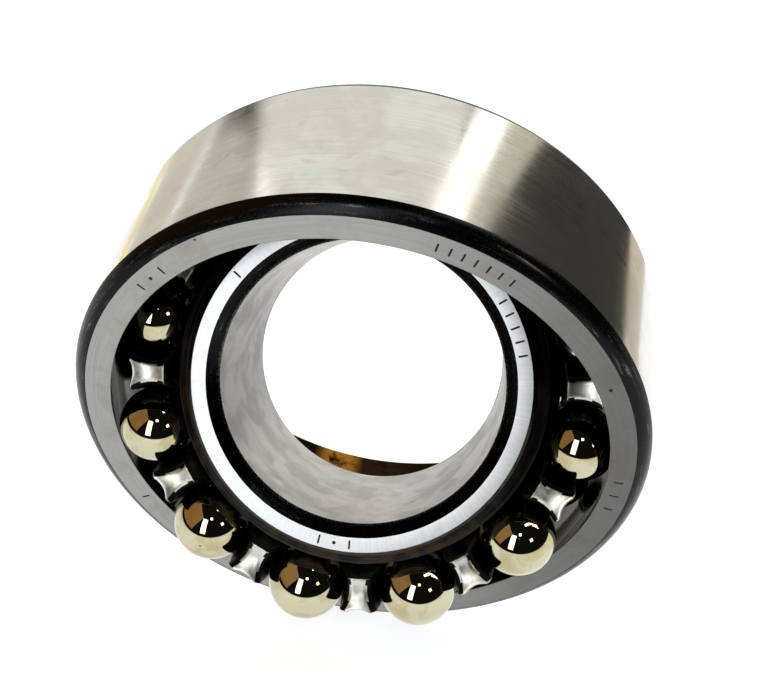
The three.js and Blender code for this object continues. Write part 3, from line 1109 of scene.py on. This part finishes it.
print("a corrugation has", len(corrugation(-1).polygons), "faces")

# %% Join the corrugations, thicken them and round their edges
# The finishes' numbers on the cage: 0 is the bright sheet, and POCKET is the painted shade of the pockets
CUT_EDGE, POCKET = 1, 2
LOOKS_OUT = 0.9
EDGE_ROUND = 0.14
EDGE_ANGLE = math.radians(55)
CAGE_CREASE = math.radians(40)


def with_thickness(name, sheet):
    """A closed shell of the sheet's thickness, with its sheared edges in their own finish."""
    worker = bpy.data.objects.new(name + "_sheet", sheet)
    bpy.context.scene.collection.objects.link(worker)
    solidify = worker.modifiers.new("thickness", "SOLIDIFY")
    solidify.thickness = SHEET * MM
    solidify.offset = 0
    solidify.use_even_offset = True
    solidify.material_offset_rim = CUT_EDGE
    bevel = worker.modifiers.new("round_edges", "BEVEL")
    bevel.width = EDGE_ROUND * MM
    bevel.segments = 2
    bevel.limit_method = "ANGLE"
    bevel.angle_limit = EDGE_ANGLE
    evaluated = worker.evaluated_get(bpy.context.evaluated_depsgraph_get())
    shell = bpy.data.meshes.new_from_object(evaluated)
    bpy.data.objects.remove(worker)
    return shell


def cage_finish_at(face, side):
    """Bright on the finger's flat, which looks out, and painted-shade black on its flanks and in the
    pockets.
    """
    if face.material_index == CUT_EDGE or side * face.normal.y > LOOKS_OUT:
        return face.material_index
    return POCKET


def make_cage(row, side, first_angle):
    sheet = plain_mesh(f"cage_{row}_joined", corrugation(side), repeating, {
        "Count": BALLS_PER_ROW, "First Angle": first_angle, "Step Angle": pitch_angle,
        "Finish": cage_finish,
    })
    outward_normals(sheet.data)
    sheet.data.materials.append(cut_edge_finish)
    sheet.data.materials.append(pocket_shade_finish)
    cage = bpy.data.objects.new(f"cage_{row}_pressed", with_thickness(row, sheet.data))
    bpy.data.objects.remove(sheet)
    bpy.context.scene.collection.objects.link(cage)
    cage.data.shade_smooth()
    cage.data.set_sharp_from_angle(angle=CAGE_CREASE)
    for face in cage.data.polygons:
        face.material_index = cage_finish_at(face, side)
    cage.data.transform(swivel)
    finish_piece(cage, "cage", [f"cage_{row}"])
    return cage


cages = [make_cage("front", -1, front_first), make_cage("back", 1, back_first)]
print("cages of", [triangle_count(cage) for cage in cages], "triangles")

# %% [markdown]
# ## Etched ticks
#
# A bearing carries small etched marks on its faces. Here they are plain ticks and dots that say nothing.
# Each row of them is one small stroke, repeated round the axis by the same tree as the cage, and it
# stands in the surface by a few hundredths of a millimetre, so that it shows as a crisp dark mark from
# every side.

# %% Etch the ticks
TICK_PROUD, TICK_SUNK = 0.012, 0.03
TICK_LENGTH, TICK_WIDTH, TICK_ROUND = 2.2, 0.42, 0.15
DOT_RADIUS = 0.42
DOT_CORNERS = 12
outer_face_middle = (mouth_radius + face_edge) / 2
inner_face_middle = (chamfer_radius + face_radius) / 2


def stroke(distance, outline):
    """A thin plate in the front face at that distance from the axis.

    Its outline is a list of (out, round) points.
    """
    plate = bmesh.new()
    near = [plate.verts.new((distance + x, -half_width - TICK_PROUD, z)) for x, z in outline]
    far = [plate.verts.new((distance + x, -half_width + TICK_SUNK, z)) for x, z in outline]
    plate.faces.new(near)
    plate.faces.new(list(reversed(far)))
    count = len(outline)
    for i in range(count):
        j = (i + 1) % count
        plate.faces.new((near[j], near[i], far[i], far[j]))
    bmesh.ops.scale(plate, vec=(MM, MM, MM), verts=plate.verts)
    bmesh.ops.recalc_face_normals(plate, faces=plate.faces)
    mesh = bpy.data.meshes.new("stroke")
    plate.to_mesh(mesh)
    plate.free()
    return mesh


def tick_outline(length):
    """A stroke with cut corners, length out from the axis."""
    half, side = length / 2, TICK_WIDTH / 2
    cut = half - TICK_ROUND
    return [(-half, 0), (-cut, -side), (cut, -side), (half, 0), (cut, side), (-cut, side)]


def dot_outline():
    angles = [2 * math.pi * i / DOT_CORNERS for i in range(DOT_CORNERS)]
    return [(DOT_RADIUS * math.cos(a), DOT_RADIUS * math.sin(a)) for a in angles]


def etched_rows(name, body, distance, rows, turn, finish):
    """Rows of marks as one piece. A row is (outline, count, first angle, step angle), in degrees."""
    joined = bmesh.new()
    for outline, count, first, step in rows:
        row = plain_mesh("row", stroke(distance, outline), repeating, {
            "Count": count, "First Angle": math.radians(first), "Step Angle": math.radians(step),
            "Finish": finish,
        })
        joined.from_mesh(row.data)
        bpy.data.objects.remove(row)
    mesh = bpy.data.meshes.new(name)
    joined.to_mesh(mesh)
    joined.free()
    mesh.materials.append(finish)
    mesh.transform(turn)
    marks = bpy.data.objects.new(name, mesh)
    bpy.context.scene.collection.objects.link(marks)
    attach(marks, body)
    return marks


outer_rows = [
    (tick_outline(TICK_LENGTH), 7, 59.4, 2.7),
    (tick_outline(TICK_LENGTH), 3, -10.6, 4.4),
    (tick_outline(TICK_LENGTH), 2, 134.6, 6.8),
    (dot_outline(), 1, 138.0, 0.0),
    (tick_outline(TICK_LENGTH), 1, -149.2, 0.0),
    (dot_outline(), 1, 25.8, 0.0),
]
inner_rows = [
    (tick_outline(TICK_LENGTH), 5, 18.0, 5.0),
    (tick_outline(TICK_LENGTH), 1, 145.3, 0.0),
    (tick_outline(TICK_LENGTH), 2, -98.0, 11.0),
    (dot_outline(), 1, -92.5, 0.0),
]
outer_marks = etched_rows(
    "etched_ticks_outer", "outer_ring", outer_face_middle, outer_rows, Matrix.Identity(4),
    outer_tick_finish,
)
inner_marks = etched_rows(
    "etched_ticks_inner", "inner_ring", inner_face_middle, inner_rows, swivel,
    inner_tick_finish,
)
print("etched ticks:", triangle_count(outer_marks), "and", triangle_count(inner_marks), "triangles")

# %% [markdown]
# ## Floor and light
#
# A mirror shows its room, so polished steel is lit with what it should reflect. The floor is a pale
# sheet, bright enough to lose its edges. A long bright tube hangs above on the right, a window stands in
# front on the left, and large pale screens stand behind, with a bright strip between two of them. A brown
# board and three small lamps stand at the sides. Each is a rectangular area light, placed where a mirror
# on the bearing looks.
#
# A black flag behind on the right, and three paper cards on the floor, darken and tint what the outside
# of the ring mirrors. The camera doesn't see them. The rest of the room is dark to a mirror, and pale to
# the camera.

# %% The floor
FLOOR_SIZE = 3.2
FLOOR_GAP = 0.0002
FLOOR_GLOW = 0.78
PAPER_GRAIN = 900.0


def pale_floor():
    surface = bpy.data.materials.new("pale_floor")
    surface.use_nodes = True
    tree = surface.node_tree
    shader = tree.nodes[PRINCIPLED]
    coordinates = add(tree, "ShaderNodeTexCoord")
    paper = add(tree, "ShaderNodeTexNoise", {
        "Vector": coordinates.outputs["Object"], "Scale": PAPER_GRAIN,
    })
    set_colour(tree, shader, blend(tree, paper.outputs["Fac"], (0.86, 0.87, 0.89, 1), (0.9, 0.9, 0.9, 1)))
    shader.inputs["Roughness"].default_value = 0.9
    shader.inputs["Specular IOR Level"].default_value = 0.1
    shader.inputs["Emission Color"].default_value = (0.93, 0.96, 1.0, 1)
    shader.inputs["Emission Strength"].default_value = FLOOR_GLOW
    return surface


def staged_sheet(name, corners, surface):
    """A flat four-cornered part of the studio."""
    mesh = bpy.data.meshes.new(name)
    mesh.from_pydata(corners, [], [(0, 1, 2, 3)])
    mesh.materials.append(surface)
    sheet = bpy.data.objects.new(name, mesh)
    bpy.context.scene.collection.objects.link(sheet)
    return sheet


half, foot = FLOOR_SIZE / 2, -outside_radius * MM
floor = staged_sheet("floor", [
    (x, y, foot - FLOOR_GAP) for x, y in ((-half, -half), (half, -half), (half, half), (-half, half))
], pale_floor())
print("floor at", round(floor.data.vertices[0].co.z, 4))

# %% The lights
def soft_light(name, place, size, radiance, colour, along=(0, 0, 1)):
    """A rectangular light that looks at the bearing. Radiance is its brightness as a mirror sees it.

    Its second side runs as nearly as it can along the given direction.
    """
    data = bpy.data.lights.new(name, "AREA")
    data.shape = "RECTANGLE"
    data.size, data.size_y = size
    data.energy = radiance * math.pi * size[0] * size[1]
    data.color = colour
    away = Vector(place).normalized()
    across = Vector(along).cross(away).normalized()
    light = bpy.data.objects.new(name, data)
    light.rotation_mode = "QUATERNION"
    light.rotation_quaternion = Matrix((across, away.cross(across), away)).transposed().to_quaternion()
    light.location = place
    light.visible_camera = False
    bpy.context.scene.collection.objects.link(light)
    return light


lights = [
    soft_light("tube", (0.56, 0.2, 0.8), (0.12, 0.85), 7.0, (1.0, 0.98, 0.93), along=(0.44, 0.5, -0.45)),
    soft_light("window", (-0.22, -0.85, 0.48), (0.26, 0.8), 4.2, (0.97, 0.99, 1.0)),
    soft_light("screen", (-0.22, 1.0, 0.6), (0.98, 1.1), 1.08, (1.0, 0.99, 0.9)),
    soft_light("left_screen", (-0.88, 0.72, 0.3), (0.6, 0.8), 0.72, (1.0, 0.96, 0.84)),
    soft_light("strip", (0.355, 1.0, 0.68), (0.15, 0.9), 2.3, (1.0, 0.98, 0.9)),
    soft_light("right_screen", (0.5, 1.0, 0.6), (0.14, 1.0), 0.75, (1.0, 0.95, 0.75)),
    soft_light("board", (-0.86, -0.22, 0.6), (1.3, 1.15), 0.42, (1.0, 0.56, 0.24)),
    soft_light("right_lamp", (0.73, 0.14, 0.67), (0.12, 0.34), 6.0, (1.0, 0.93, 0.8)),
    soft_light("front_lamp", (0.13, -0.56, 0.81), (0.12, 0.12), 6.0, (1.0, 0.95, 0.85)),
    soft_light("side_lamp", (0.67, -0.54, 0.51), (0.14, 0.14), 6.0, (1.0, 0.9, 0.72)),
]

print("lights:", [light.name for light in lights])

# %% The flag and the cards that only the mirrors see
FLAG_PLACE, FLAG_HEIGHT = Vector((0.275, 0.215, foot)), 0.32
FLAG_HALF = Vector((0.085, -0.071, 0))
FLAG_TONE, CARD_GLOW, MATT = (0.05, 0.052, 0.045, 1), 0.5, 0.9


def seen_by_mirrors(name, corners, tone, glow=0.0):
    """A matt sheet of one tone, hidden from the camera."""
    surface = bpy.data.materials.new(name)
    surface.use_nodes = True
    shader = surface.node_tree.nodes[PRINCIPLED]
    shader.inputs["Base Color"].default_value = tone
    shader.inputs["Roughness"].default_value = MATT
    shader.inputs["Emission Color"].default_value = tone
    shader.inputs["Emission Strength"].default_value = glow
    sheet = staged_sheet(name, corners, surface)
    sheet.visible_camera = sheet.visible_shadow = sheet.visible_diffuse = False
    return sheet


def floor_card(name, azimuth, near, far, half, tone):
    """A card that lies on the floor behind the bearing, from the near to the far distance."""
    out = Vector((math.sin(math.radians(azimuth)), math.cos(math.radians(azimuth)), 0))
    side = Vector((out.y, -out.x, 0)) * half
    lift = Vector((0, 0, foot))
    near_middle, far_middle = out * near + lift, out * far + lift
    return seen_by_mirrors(name, [
        near_middle - side, near_middle + side, far_middle + side, far_middle - side,
    ], tone, CARD_GLOW)


up = Vector((0, 0, FLAG_HEIGHT))
cards = [
    seen_by_mirrors("black_flag", [
        FLAG_PLACE - FLAG_HALF, FLAG_PLACE + FLAG_HALF,
        FLAG_PLACE + FLAG_HALF + up, FLAG_PLACE - FLAG_HALF + up,
    ], FLAG_TONE),
    floor_card("yellow_card", -46, 0.248, 0.278, 0.12, (1.0, 0.82, 0.12, 1)),
    floor_card("left_card", -46, 0.3, 1.4, 0.45, (0.74, 0.72, 0.66, 1)),
    floor_card("right_card", 46, 0.215, 0.4, 0.12, (0.66, 0.6, 0.5, 1)),
]
print("cards:", [card.name for card in cards])

# %% The room
ROOM_TO_MIRRORS, ROOM_TO_CAMERA = (0.008, 0.008, 0.008, 1), (0.93, 0.94, 0.95, 1)


def make_room():
    """Dark to a mirror, and pale to the camera."""
    room = bpy.data.worlds.new("room")
    room.use_nodes = True
    tree = room.node_tree
    background = tree.nodes["Background"]
    ray = add(tree, "ShaderNodeLightPath")
    seen = blend(tree, ray.outputs["Is Camera Ray"], ROOM_TO_MIRRORS, ROOM_TO_CAMERA)
    tree.links.new(seen, background.inputs["Color"])
    bpy.context.scene.world = room


make_room()
bpy.context.scene.view_settings.view_transform = "Standard"
print("world:", bpy.context.scene.world.name)
